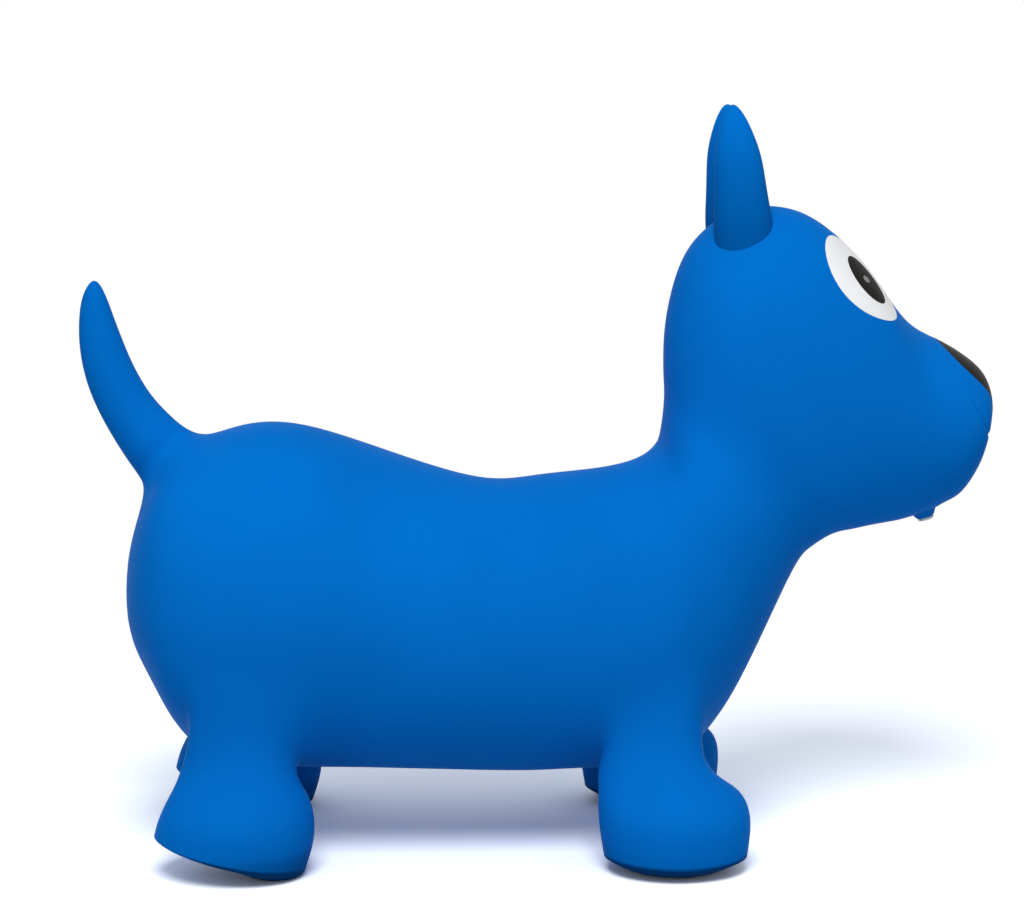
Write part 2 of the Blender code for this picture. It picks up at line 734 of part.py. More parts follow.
def make_valve(parts, helpers, lifted, skin, clear):
    placed = Matrix.Translation(place(*VALVE_SHARES)) @ valve_axis().to_4x4()
    slope = (SEAT_BASE_RADIUS - SEAT_FACE_RADIUS) / SEAT_PROUD
    profile = [
        (0, SEAT_PROUD),
        (SEAT_FACE_RADIUS, SEAT_PROUD),
        (SEAT_BASE_RADIUS + slope * SEAT_PROUD / 2, -SEAT_PROUD / 2),
        (0, -SEAT_PROUD / 2),
    ]
    seat = turned(parts, "valve_seat", profile)
    seat.matrix_world = placed
    seat.data.materials.append(skin)
    boolean(seat, "DIFFERENCE", lifted)
    sleeve = valve_rod(helpers, "seat_sleeve", SEAT_SLEEVE_RADIUS, -SEAT_SLEEVE_DEPTH, SEAT_PROUD / 2)
    boolean(seat, "UNION", sleeve)
    bore = valve_rod(helpers, "seat_bore", SEAT_BORE_RADIUS, -2 * SEAT_SLEEVE_DEPTH, 2 * SEAT_PROUD)
    boolean(seat, "DIFFERENCE", bore)

    top = SEAT_PROUD + GAP + STOPPER_HEAD
    neck = SEAT_PROUD + GAP
    foot = neck - STOPPER_STEM
    rib_radius = STOPPER_STEM_RADIUS + STOPPER_RIB / 2
    edge = STOPPER_HEAD / 3
    profile = [
        (0, top),
        (STOPPER_HEAD_RADIUS - edge, top),
        (STOPPER_HEAD_RADIUS, top - edge),
        (STOPPER_HEAD_RADIUS, neck),
        (STOPPER_STEM_RADIUS - STOPPER_WAIST, neck),
    ]
    for rib in range(STOPPER_RIBS):
        height = neck - STOPPER_STEM * (rib + 1) / (STOPPER_RIBS + 1)
        profile += [
            (STOPPER_STEM_RADIUS - STOPPER_WAIST, height + STOPPER_WAIST),
            (rib_radius, height + STOPPER_WAIST / 2),
            (rib_radius, height - STOPPER_WAIST / 2),
            (STOPPER_STEM_RADIUS - STOPPER_WAIST, height - STOPPER_WAIST),
        ]
    profile += [(STOPPER_STEM_RADIUS - 2 * STOPPER_WAIST, foot), (0, foot)]
    stopper = turned(parts, "stopper", profile)
    stopper.matrix_world = placed
    stopper.data.materials.append(clear)


def add_pivot(pivots, name, at, parent=None):
    """An empty on a joint's axis."""
    empty = add_object(name, None, pivots)
    empty.location = at
    if parent is not None:
        hang(empty, parent)
    return empty


def hang(obj, parent):
    """Parents an object to a pivot, leaving it where it is."""
    bpy.context.view_layer.update()
    obj.parent = parent
    obj.matrix_parent_inverse = parent.matrix_world.inverted()


def make_pivots(parts, pivots):
    """What moves as one hangs from an empty on its joint's axis: head, ears, tail, feet and stopper."""
    head = add_pivot(pivots, "neck_pivot", neck_pivot())
    groups = {head: ["head", "nose", "valve_seat"]}
    for side, word in SIDES:
        groups[head] += [f"{part}_{word}" for part in ("ear_root", "eye_white", "pupil", "eye_glint")]
        ear_at = place(*EAR_FOOT_SHARES, side).lerp(ear_split(side), EAR_PIVOT_SHARE)
        groups[add_pivot(pivots, f"ear_pivot_{word}", ear_at, head)] = [f"ear_{word}"]
        for end, share in (("front", FRONT_FOOT_SHARE), ("rear", REAR_FOOT_SHARE)):
            at = Vector((along(share), side * TRACK / 2, 0))
            groups[add_pivot(pivots, f"foot_pivot_{end}_{word}", at)] = [f"foot_{end}_{word}"]
    groups[add_pivot(pivots, "tail_pivot", tail_middles()[TAIL_SPLIT_STATION - 1])] = ["tail"]
    groups[add_pivot(pivots, "stopper_pivot", place(*VALVE_SHARES), head)] = ["stopper"]
    for pivot, names in groups.items():
        for name in names:
            hang(parts.objects[name], pivot)


def shade(parts):
    for obj in parts.objects:
        obj.data.shade_smooth()
        obj.data.set_sharp_from_angle(angle=math.radians(40))


def main():
    clear_scene()
    parts = new_collection("bouncy_dog")
    helpers = new_collection("cutters")
    pivots = new_collection("pivots")
    skin = material("blue skin", BLUE, 0.48)
    white = material("white paint", WHITE, 0.35)
    black = material("black paint", BLACK, 0.35)
    grey = material("grey paint", GREY, 0.35)
    clear = material("clear stopper", CLEAR, 0.25)
    surface, inside = body_surfaces(helpers)
    lifted = grown(surface, helpers, "skin_clearance", GAP)
    make_zones(parts, helpers, surface, inside, skin)
    make_ears(parts, helpers, lifted, skin)
    make_tail(parts, helpers, lifted, skin)
    make_paint(parts, helpers, surface, lifted, white, black, grey)
    make_valve(parts, helpers, lifted, skin, clear)
    make_pivots(parts, pivots)
    shade(parts)


main()
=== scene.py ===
"""A bouncy ride-on dog, dressed around its frame: one smooth moulded skin, painted face, air valve.

Units are metres, +Z up. The dog faces +X, its left side is +Y, and it stands on Z = 0. The skin is modelled
whole as a coarse cage with a smooth surface on it, and is then divided into the pieces that bend: body with
head, legs, tail and ears.
"""

import math

import bmesh
import bpy
import numpy as np
from mathutils import Matrix, Vector


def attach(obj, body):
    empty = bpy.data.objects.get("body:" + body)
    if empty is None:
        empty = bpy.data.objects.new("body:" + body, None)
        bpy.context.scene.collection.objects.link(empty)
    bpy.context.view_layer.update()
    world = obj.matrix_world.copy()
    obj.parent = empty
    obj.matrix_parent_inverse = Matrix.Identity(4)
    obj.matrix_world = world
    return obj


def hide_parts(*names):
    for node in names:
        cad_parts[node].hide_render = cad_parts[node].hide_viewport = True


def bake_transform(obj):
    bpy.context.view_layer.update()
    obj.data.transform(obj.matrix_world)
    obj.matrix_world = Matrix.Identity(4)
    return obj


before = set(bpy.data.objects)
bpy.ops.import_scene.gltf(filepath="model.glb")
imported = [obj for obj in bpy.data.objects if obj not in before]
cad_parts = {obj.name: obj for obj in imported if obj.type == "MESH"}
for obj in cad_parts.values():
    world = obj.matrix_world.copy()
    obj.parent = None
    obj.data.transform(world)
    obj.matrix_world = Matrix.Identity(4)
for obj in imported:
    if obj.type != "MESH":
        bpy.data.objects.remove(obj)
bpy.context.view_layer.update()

bl_info = {
    "name": "Bouncy ride-on dog",
    "version": (1, 0, 0),
    "blender": (4, 5, 0),
    "location": "3D View > Sidebar > Bouncy Dog",
    "description": "Builds the moulded skin, the painted face, the air valve and the studio of a ride-on dog",
    "category": "Object",
}

LENGTH = 0.600
HEIGHT = 0.4865
BARREL_WIDTH = 0.210

# The body's ribs, from rump to muzzle: where the back point and the belly point lie along the length and up
# the height, and then the width, as shares of the sizes above.
RIB_SHARES = (
    (0.055, 0.421, 0.056, 0.279, 0.44),
    (0.071, 0.488, 0.077, 0.224, 0.73),
    (0.097, 0.539, 0.101, 0.169, 0.90),
    (0.135, 0.558, 0.129, 0.131, 0.97),
    (0.178, 0.571, 0.190, 0.108, 1.00),
    (0.242, 0.570, 0.256, 0.103, 0.99),
    (0.337, 0.533, 0.340, 0.102, 0.96),
    (0.435, 0.497, 0.435, 0.098, 0.93),
    (0.501, 0.500, 0.502, 0.097, 0.92),
    (0.568, 0.509, 0.570, 0.098, 0.92),
    (0.611, 0.523, 0.642, 0.099, 0.89),
    (0.629, 0.540, 0.680, 0.140, 0.84),
    (0.635, 0.560, 0.721, 0.217, 0.75),
    (0.638, 0.603, 0.774, 0.355, 0.64),
    (0.637, 0.636, 0.799, 0.400, 0.60),
    (0.637, 0.685, 0.822, 0.418, 0.61),
    (0.643, 0.739, 0.840, 0.424, 0.64),
    (0.662, 0.805, 0.853, 0.427, 0.66),
    (0.701, 0.850, 0.865, 0.430, 0.66),
    (0.746, 0.864, 0.879, 0.433, 0.65),
    (0.790, 0.853, 0.893, 0.436, 0.63),
    (0.829, 0.819, 0.906, 0.440, 0.61),
    (0.860, 0.778, 0.921, 0.446, 0.58),
    (0.885, 0.735, 0.934, 0.452, 0.55),
    (0.910, 0.702, 0.947, 0.461, 0.52),
    (0.9395, 0.6825, 0.961, 0.4715, 0.50),
    (0.966, 0.663, 0.973, 0.4915, 0.46),
    (0.986, 0.641, 0.9818, 0.5165, 0.38),
    (0.9945, 0.6155, 0.9878, 0.548, 0.24),
)
RUMP_END_SHARES = (0.048, 0.353)
MUZZLE_END_SHARES = (0.9968, 0.586)

# The cage: points to a rib and to a ring of a limb, and how often it is fitted to the surface that is wanted.
RIB_POINTS = 16
LIMB_POINTS = 8
FIT_ROUNDS = 6

# Both ends of the body are smoothed a little, this far round their points.
POLE_REACH = 0.012
POLE_ROUNDS = 6

# Legs, drawn out of patches of four faces each. Rings downwards: height as a share of the ankle's, shift
# forward and length as shares of the foot's length, shift outward and width as shares of its width. The last
# ring but one is the sole's sharp rim, which sags a little at the foot's two sides.
REAR_LEG_RIBS = (3, 4, 5)
FRONT_LEG_RIBS = (9, 10, 11)
LEG_SECTORS = (5, 6, 7)
TRACK = 0.174
FOOT_LENGTH = 0.099
FOOT_WIDTH = 0.076
ANKLE_HEIGHT = 0.064
ANKLE_TILT = 0.010
FRONT_FOOT_SHARE = 0.6383
REAR_FOOT_SHARE = 0.1700
REAR_SOLE_SLOPE = -0.230
REAR_HEEL_LIFT = 0.0063
SOLE_DIP = 0.0015
RIM_CREASE = 1.0
RIM_SAG = 0.002
FRONT_LEG_SHARES = (
    (1.04, -0.132, 0.70, -0.20, 0.62),
    (0.80, -0.045, 0.90, -0.06, 0.86),
    (0.52, -0.005, 0.98, 0.00, 1.00),
    (0.16, 0.004, 0.93, 0.00, 0.95),
    (0.03, 0.000, 0.60, 0.00, 0.62),
)
REAR_LEG_SHARES = (
    (1.02, 0.022, 0.745, -0.20, 0.62),
    (0.80, 0.040, 0.88, -0.06, 0.86),
    (0.52, 0.018, 0.98, 0.00, 1.00),
    (0.14, -0.030, 0.97, 0.00, 0.95),
    (0.03, 0.140, 0.50, 0.00, 0.60),
)

# The tail, drawn out of the rump: shares of the length, of the height and of the breadth at its root.
TAIL_RIBS = (1, 2, 3)
TAIL_BREADTH = 0.058
TAIL_SHARES = (
    (0.0900, 0.5335, 0.770),
    (0.0770, 0.5515, 0.700),
    (0.0600, 0.5790, 0.635),
    (0.0450, 0.6095, 0.590),
    (0.0325, 0.6450, 0.548),
    (0.0240, 0.6830, 0.480),
    (0.0195, 0.7180, 0.378),
    (0.0178, 0.7470, 0.245),
)
TAIL_ROOT_SHARES = (0.1167, 0.0, 0.5015)
TAIL_TIP_SHARES = (0.0183, 0.0, 0.7677)

# Ears, turned a little outward: height up the ear, width of it, and how far it bows outward. Their colour has
# painted shade towards the foot, where it is the skin's own times EAR_FOOT_PAINTED_SHADE, and it is the skin's
# own above EAR_PAINTED_SHADE_SHARES, given as shares of the dog's height.
EAR_FOOT_SHARES = (0.7205, 0.2238, 0.7821)
EAR_TIP_SHARES = (0.7065, 0.1300, 1.0)
EAR_DEPTH = 0.0374
EAR_BREADTH = 0.027
EAR_SHARES = (
    (0.00, 1.04, 0.08),
    (0.14, 1.05, 0.13),
    (0.28, 1.02, 0.18),
    (0.44, 0.93, 0.23),
    (0.58, 0.86, 0.25),
    (0.71, 0.77, 0.22),
    (0.84, 0.57, 0.14),
    (0.94, 0.33, 0.05),
)
EAR_TURN = math.radians(14.0)
EAR_PAINTED_SHADE_SHARES = (0.79, 0.98)
EAR_FOOT_PAINTED_SHADE = 0.52

# Where the skin is divided, and the slope of the neck.
LEG_CUT_HEIGHT = 0.0245
LEG_CUT_SLOPE = 0.55
TAIL_PIVOT_SHARES = (0.0930, 0.0, 0.5297)
TAIL_TURN = math.radians(-38.9)
TAIL_CUT = 0.007
NECK_SLOPE = math.radians(31.3)

# The face: ovals of paint, each lying a step or more proud of the skin, one over the other.
EYE_SHARES = (0.8420, 0.3080, 0.7700)
EYE_PITCH = math.radians(38.5)
EYE_TURN = math.radians(27.0)
PUPIL_DROP = 0.003
PUPIL_SHIFT = 0.001
GLINT_SHIFT = 0.004
NOSE_SHARES = (0.9763, 0.0, 0.6350)
NOSE_PITCH = math.radians(38.0)
PAINT_DEPTH = 0.0012
PAINT_STEP = 0.00015
PAINT_MARGIN = 0.0096
OUTLINE_POINTS = 96

# The mouth: a crease across the front of the muzzle that rises on both cheeks, fades towards both ends and
# is shallowest in the middle, below the nose. The skin is made finer, then moved, within so many of the
# crease's breadths.
MOUTH_SHARES = (0.9918, 0.0, 0.5495)
MOUTH_RISE = math.radians(60.0)
MOUTH_REACH = 0.042
MOUTH_DROP = 0.014
MOUTH_BREADTH = 0.0011
MOUTH_MIDDLE_SHARE = 0.1
MOUTH_MIDDLE_REACH = 0.038
MOUTH_END_FADE = 3
MOUTH_CUTS = 3
MOUTH_FINE_BREADTHS = 5
MOUTH_MOVED_BREADTHS = 4

# The air valve: a tapered boss with a sleeve behind it, and a plug with a ribbed stem.
VALVE_SHARES = (0.9267, 0.0, 0.4491)
VALVE_TILT = math.radians(18.7)
BOSS_RADIUS = 0.0085
BOSS_FACE_RADIUS = 0.0060
BOSS_PROUD = 0.0042
BOSS_ROOT = 0.0040
BORE_RADIUS = 0.0040
SLEEVE_RADIUS = 0.0058
SLEEVE_DEPTH = 0.0100
PLUG_RADIUS = 0.0054
PLUG_HEAD = 0.0016
PLUG_STEM_RADIUS = 0.0036
PLUG_STEM = 0.0175
PLUG_WAIST = 0.0008
PLUG_RIBS = 3
PLUG_DISH_SHARES = (0.62, 0.55)
PLUG_GAP = 0.0003
TURNED_POINTS = 64
SMOOTH_BELOW = math.radians(30.0)
PAINT_SMOOTH_BELOW = math.radians(35.0)

# The finishes: how deep the skin's colour goes where it is uneven, and how deep the painted shade under the
# feet is. That painted shade starts below SOLE_PAINTED_SHADE_HEIGHTS, where the skin faces down by more than
# SOLE_PAINTED_SHADE_SLANTS, and its upper edge wanders by PAINTED_SHADE_EDGE_WANDER.
SKIN_SHADE = 0.90
PAINT_SHADE = 0.93
PLUG_COLOURS = ((0.74, 0.79, 0.84), (0.86, 0.89, 0.92))
FINE_GRAIN = 0.00003
SOLE_PAINTED_SHADE = 0.28
SOLE_PAINTED_SHADE_HEIGHTS = (0.020, 0.026)
SOLE_PAINTED_SHADE_SLANTS = (-0.45, -0.12)
PAINTED_SHADE_EDGE_WANDER = 0.006

# The studio: the floor's size, the distances over which it turns plain white, and the one large light.
FLOOR_SIZE = 12
FLOOR_FADE = (0.40, 0.80)
ROOM_COLOUR = (0.93, 0.96, 1, 1)
WHITE = (1, 1, 1, 1)
LIGHT_PLACE = (-0.15, -1.35, 1.85)
LIGHT_TARGET = (0, 0, 0.2)
LIGHT_SIZE = 1.1

# The photograph's camera.
CAMERA_PLACE = (-0.0934, -1.75, 0.5005)
CAMERA_PITCH = math.radians(7.953)
CAMERA_YAW = math.radians(2.472)
SENSOR_WIDTH = 36

SIDES = (("left", 1), ("right", -1))


class SkinSettings(bpy.types.PropertyGroup):
    colour: bpy.props.FloatVectorProperty(
        name="Skin colour", description="Colour of the moulded skin", subtype="COLOR", size=3,
        default=(0.001, 0.155, 0.565), min=0, max=1,
    )
    roughness: bpy.props.FloatProperty(
        name="Roughness", description="How matt the skin is", subtype="FACTOR", default=0.46, min=0, max=1
    )
    grain: bpy.props.FloatProperty(
        name="Grain height", description="Height of the skin's fine grain", subtype="DISTANCE", unit="LENGTH",
        default=0.00006, min=0, max=0.001, precision=6,
    )
    mouth_depth: bpy.props.FloatProperty(
        name="Mouth depth", description="Depth of the mouth's crease on the cheeks", subtype="DISTANCE",
        unit="LENGTH", default=0.0011, min=0, max=0.003, precision=4,
    )
    levels: bpy.props.IntProperty(
        name="Smoothness", description="Subdivision levels of the skin", default=3, min=1, max=4
    )


class PaintSettings(bpy.types.PropertyGroup):
    white: bpy.props.FloatVectorProperty(
        name="Eye white", description="Colour of the eyes", subtype="COLOR", size=3,
        default=(0.86, 0.86, 0.86), min=0, max=1,
    )
    black: bpy.props.FloatVectorProperty(
        name="Black", description="Colour of the pupils and the nose", subtype="COLOR", size=3,
        default=(0.016, 0.015, 0.013), min=0, max=1,
    )
    grey: bpy.props.FloatVectorProperty(
        name="Glint", description="Colour of the dot in each pupil", subtype="COLOR", size=3,
        default=(0.25, 0.25, 0.25), min=0, max=1,
    )
    eye_height: bpy.props.FloatProperty(
        name="Eye height", description="Height of each white oval", subtype="DISTANCE", unit="LENGTH",
        default=0.069, min=0.02, max=0.09, precision=4,
    )
    eye_width: bpy.props.FloatProperty(
        name="Eye width", description="Width of each white oval", subtype="DISTANCE", unit="LENGTH",
        default=0.054, min=0.02, max=0.06, precision=4,
    )
    pupil_height: bpy.props.FloatProperty(
        name="Pupil height", description="Height of each black oval", subtype="DISTANCE", unit="LENGTH",
        default=0.038, min=0.01, max=0.06, precision=4,
    )
    pupil_width: bpy.props.FloatProperty(
        name="Pupil width", description="Width of each black oval", subtype="DISTANCE", unit="LENGTH",
        default=0.0245, min=0.01, max=0.05, precision=4,
    )
    glint_size: bpy.props.FloatProperty(
        name="Glint size", description="Width of the dot in each pupil", subtype="DISTANCE", unit="LENGTH",
        default=0.0055, min=0.002, max=0.01, precision=4,
    )
    nose_length: bpy.props.FloatProperty(
        name="Nose length", description="Length of the nose down the muzzle", subtype="DISTANCE",
        unit="LENGTH", default=0.070, min=0.03, max=0.08, precision=4,
    )
    nose_width: bpy.props.FloatProperty(
        name="Nose width", description="Width of the nose", subtype="DISTANCE", unit="LENGTH",
        default=0.066, min=0.03, max=0.08, precision=4,
    )
    roughness: bpy.props.FloatProperty(
        name="Roughness", description="How matt the paint is", subtype="FACTOR", default=0.42, min=0, max=1
    )


class StudioSettings(bpy.types.PropertyGroup):
    focal: bpy.props.FloatProperty(
        name="Focal length", description="Camera's focal length", unit="CAMERA",
        default=94.37, min=20, max=300,
    )
    key: bpy.props.FloatProperty(
        name="Key light", description="Power of the large soft light", unit="POWER",
        default=29, min=0, max=500,
    )
    fill: bpy.props.FloatProperty(
        name="Room light", description="Strength of the light from all round", default=0.50, min=0, max=5
    )


def along(share):
    return (share - 0.5) * LENGTH


def place(x_share, y_share, z_share, side=1):
    return Vector((along(x_share), side * y_share * BARREL_WIDTH / 2, z_share * HEIGHT))


# Materials.


def new_material(name):
    made = bpy.data.materials.new(name)
    made.use_nodes = True
    tree = made.node_tree
    return made, tree, tree.nodes["Principled BSDF"]


def add_node(tree, kind, **values):
    """Adds a node and sets its properties, or else its inputs, of the names given."""
    node = tree.nodes.new(kind)
    for key, value in values.items():
        if hasattr(node, key):
            setattr(node, key, value)
        else:
            node.inputs[key.replace("_", " ")].default_value = value
    return node


def noise(tree, place_output, scale, detail=2.0):
    node = add_node(tree, "ShaderNodeTexNoise", Scale=scale, Detail=detail)
    tree.links.new(place_output, node.inputs["Vector"])
    return node.outputs["Fac"]


def ramp(tree, value, low, high, low_colour, high_colour):
    """Goes from one colour to the other as value goes from low to high. A colour may also be a socket."""
    node = add_node(tree, "ShaderNodeMapRange", clamp=True)
    node.inputs["From Min"].default_value = low
    node.inputs["From Max"].default_value = high
    tree.links.new(value, node.inputs["Value"])
    mix = add_node(tree, "ShaderNodeMix", data_type="RGBA")
    tree.links.new(node.outputs["Result"], mix.inputs["Factor"])
    sockets = [socket for socket in mix.inputs if socket.type == "RGBA"]
    for socket, colour in zip(sockets, (low_colour, high_colour)):
        if hasattr(colour, "links"):
            tree.links.new(colour, socket)
        else:
            socket.default_value = (*colour, 1.0)
    return next(socket for socket in mix.outputs if socket.type == "RGBA")


def roughen(tree, shader, fine, middle, spread):
    """Makes the roughness wander by spread to both sides of middle, after a fine noise."""
    rough = add_node(tree, "ShaderNodeMapRange", clamp=True)
    tree.links.new(fine, rough.inputs["Value"])
    rough.inputs["To Min"].default_value = middle - spread
    rough.inputs["To Max"].default_value = middle + spread
    tree.links.new(rough.outputs["Result"], shader.inputs["Roughness"])


def bump(tree, shader, height, strength, distance):
    node = add_node(tree, "ShaderNodeBump")
    node.inputs["Strength"].default_value = strength
    node.inputs["Distance"].default_value = distance
    tree.links.new(height, node.inputs["Height"])
    tree.links.new(node.outputs["Normal"], shader.inputs["Normal"])


def shaded(colour, share):
    return tuple(part * share for part in colour)


def skin_material(settings, name="moulded vinyl", ear_painted_shade=None):
    """Soft moulded vinyl: matt, finely grained, slightly uneven in colour, with painted shade under the feet.
    """
    found = bpy.data.materials.get(name)
    if found:
        return found
    made, tree, shader = new_material(name)
    coordinates = add_node(tree, "ShaderNodeTexCoord")
    where = coordinates.outputs["Object"]
    colour = tuple(settings.colour)
    cloudy = noise(tree, where, scale=9.0)
    base = ramp(tree, cloudy, 0.35, 0.65, shaded(colour, SKIN_SHADE), colour)
    split = add_node(tree, "ShaderNodeSeparateXYZ")
    tree.links.new(where, split.inputs["Vector"])
    # Painted shade under the feet: a dark colour on skin that faces down, below a height whose edge wanders
    # with noise.
    painted_shade_line = add_node(tree, "ShaderNodeMath", operation="MULTIPLY_ADD")
    tree.links.new(noise(tree, where, scale=160.0, detail=5.0), painted_shade_line.inputs[0])
    painted_shade_line.inputs[1].default_value = PAINTED_SHADE_EDGE_WANDER
    tree.links.new(split.outputs["Z"], painted_shade_line.inputs[2])
    slant = add_node(tree, "ShaderNodeSeparateXYZ")
    tree.links.new(coordinates.outputs["Normal"], slant.inputs["Vector"])
    under = ramp(tree, slant.outputs["Z"], *SOLE_PAINTED_SHADE_SLANTS, shaded(colour, SOLE_PAINTED_SHADE), base)
    base = ramp(tree, painted_shade_line.outputs["Value"], *SOLE_PAINTED_SHADE_HEIGHTS, under, base)
    # Painted shade: the ears' colour darkens towards their foot, standing in for the shade where they meet the
    # head.
    if ear_painted_shade is not None:
        low, high = (share * HEIGHT for share in EAR_PAINTED_SHADE_SHARES)
        base = ramp(tree, split.outputs["Z"], low, high, shaded(colour, ear_painted_shade), base)
    tree.links.new(base, shader.inputs["Base Color"])
    roughen(tree, shader, noise(tree, where, scale=24.0, detail=4.0), settings.roughness, spread=0.05)
    shader.inputs["Specular IOR Level"].default_value = 0.004
    shader.inputs["Specular Tint"].default_value = (0.05, 0.45, 1.0, 1)
    grain = noise(tree, where, scale=1500.0, detail=3.0)
    bump(tree, shader, grain, strength=0.6, distance=settings.grain)
    return made


def paint_material(name, colour, roughness):
    made, tree, shader = new_material(name)
    shader.inputs["Specular IOR Level"].default_value = 0.02
    where = add_node(tree, "ShaderNodeTexCoord").outputs["Object"]
    cloudy = noise(tree, where, scale=40.0)
    uneven = ramp(tree, cloudy, 0.3, 0.7, shaded(colour, PAINT_SHADE), tuple(colour))
    tree.links.new(uneven, shader.inputs["Base Color"])
    roughen(tree, shader, noise(tree, where, scale=90.0, detail=4.0), roughness, spread=0.04)
    bump(tree, shader, noise(tree, where, scale=1200.0), strength=0.4, distance=FINE_GRAIN)
    return made


def plug_material():
    made, tree, shader = new_material("milky plug")
    where = add_node(tree, "ShaderNodeTexCoord").outputs["Object"]
    tint = ramp(tree, noise(tree, where, scale=300.0), 0.3, 0.7, *PLUG_COLOURS)
    tree.links.new(tint, shader.inputs["Base Color"])
    shader.inputs["Roughness"].default_value = 0.28
    shader.inputs["Transmission Weight"].default_value = 0.45
    shader.inputs["IOR"].default_value = 1.42
    bump(tree, shader, noise(tree, where, scale=900.0), strength=0.3, distance=FINE_GRAIN)
    return made


# Modelling helpers.


def deselect_all():
    if bpy.context.mode != "OBJECT":
        bpy.ops.object.mode_set(mode="OBJECT")
    bpy.ops.object.select_all(action="DESELECT")


def activate(obj):
    deselect_all()
    obj.select_set(True)
    bpy.context.view_layer.objects.active = obj


def edit(obj):
    activate(obj)
    bpy.ops.object.mode_set(mode="EDIT")
    bpy.ops.mesh.select_mode(type="VERT")
    bpy.ops.mesh.select_all(action="DESELECT")


def leave():
    bpy.ops.object.mode_set(mode="OBJECT")


def named(name):
    obj = bpy.context.object
    obj.name = name
    obj.data.name = name
    return obj


def settle(obj):
    activate(obj)
    bpy.ops.object.transform_apply(location=True, rotation=True, scale=True)


def copy_of(obj, name):
    activate(obj)
    bpy.ops.object.duplicate(linked=False)
    return named(name)


def finish_modifier(obj, kind, **values):
    """Adds a modifier and applies it."""
    activate(obj)
    bpy.ops.object.modifier_add(type=kind)
    modifier = obj.modifiers[-1]
    for key, value in values.items():
        setattr(modifier, key, value)
    bpy.ops.object.modifier_apply(modifier=modifier.name)


def smooth_surface(obj, settings):
    levels = settings.levels
    finish_modifier(obj, "SUBSURF", levels=levels, render_levels=levels)


def remove(obj):
    bpy.data.objects.remove(obj, do_unlink=True)


def move_points(obj, old, new):
    """Moves the selected vertices that stand at the old points to the new ones."""
    bm = bmesh.from_edit_mesh(obj.data)
    chosen = [vert for vert in bm.verts if vert.select]
    for before, after in zip(old, new):
        vert = min(chosen, key=lambda v: (v.co - before).length_squared)
        chosen.remove(vert)
        vert.co = after
    bmesh.update_edit_mesh(obj.data)


def select_near(obj, points, kind):
    """Selects, in edit mode, the vertex or face nearest to each point."""
    bm = bmesh.from_edit_mesh(obj.data)
    for point in points:
        if kind == "FACE":
            nearest = min(bm.faces, key=lambda face: (face.calc_center_median() - point).length_squared)
        else:
            nearest = min(bm.verts, key=lambda vert: (vert.co - point).length_squared)
        nearest.select = True
    bm.select_flush_mode()
    bmesh.update_edit_mesh(obj.data)


def select_where(obj, test):
    """Selects, in edit mode, the vertices whose place passes a test."""
    bm = bmesh.from_edit_mesh(obj.data)
    for vert in bm.verts:
        vert.select = test(vert.co)
    bm.select_flush_mode()
    bmesh.update_edit_mesh(obj.data)


def limb_turns():
    """The turns to the points of a limb's ring, from its rear outer corner forwards and round."""
    return [math.radians(135) - math.tau * step / LIMB_POINTS for step in range(LIMB_POINTS)]


def oval(middle, ahead, aside, points, start=0.0):
    """Points round an oval, from the turn start on. From ahead they turn away from aside."""
    turns = (start - math.tau * step / points for step in range(points))
    return [middle + ahead * math.cos(turn) + aside * math.sin(turn) for turn in turns]


def draw_out(obj, ring, rings, tip):
    """Draws a patch of four selected faces out through the rings of a limb, and ends it at a tip."""
    bm = bmesh.from_edit_mesh(obj.data)
    centre = next(vert for vert in bm.verts if vert.select and all(edge.select for edge in vert.link_edges))
    middle = centre.co.copy()
    for number, target in enumerate(rings):
        bpy.ops.mesh.extrude_region_move()
        centre = tip if number == len(rings) - 1 else sum(target, Vector()) / len(target)
        move_points(obj, [*ring, middle], [*target, centre])
        ring, middle = target, centre


# The undivided skin.


def surface_points(points, faces, sharp):
    """Where each point of a cage ends up on the smooth surface that subdivision makes of it."""
    near = np.zeros_like(points)
    middles = np.zeros_like(points)
    count = np.zeros((len(points), 1))
    edges = set()
    for face in faces:
        centre = points[face].mean(axis=0)
        middles[face] += centre
        count[face] += 1
        edges.update(tuple(sorted((face[i - 1], face[i]))) for i in range(len(face)))
    along_rim = np.zeros_like(points)
    for a, b in edges:
        near[a] += points[b]
        near[b] += points[a]
        if a in sharp and b in sharp:
            along_rim[a] += points[b]
            along_rim[b] += points[a]
    moved = (middles / count + (count * points + near) / count + (count - 3) * points) / count
    edge_points = (count * points + near + 2 * middles) / 4
    limit = (count * count * moved + 4 * edge_points + middles) / (count * (count + 5))
    for index in sharp:
        limit[index] = (4 * points[index] + along_rim[index]) / 6
    return limit


def fit_cage(obj, rims=(), loose=()):
    """Moves all of a cage's points but the loose ones, so that its smooth surface runs through the old ones."""
    mesh = obj.data
    wanted = np.array([vert.co for vert in mesh.vertices])
    faces = [list(polygon.vertices) for polygon in mesh.polygons]

    def nearest(points):
        return [int(((wanted - np.array(point)) ** 2).sum(axis=1).argmin()) for point in points]

    sharp = set(nearest(rims))
    held = np.ones((len(wanted), 1))
    held[nearest(loose)] = 0
    points = wanted.copy()
    for _ in range(FIT_ROUNDS):
        points += held * (wanted - surface_points(points, faces, sharp))
    for vert, point in zip(mesh.vertices, points):
        vert.co = point
    mesh.update()


def rib(back_x, back_z, belly_x, belly_z, width):
    back, belly = place(back_x, 0, back_z), place(belly_x, 0, belly_z)
    half_width = Vector((0, width * BARREL_WIDTH / 2, 0))
    return oval((back + belly) / 2, (back - belly) / 2, -half_width, RIB_POINTS)


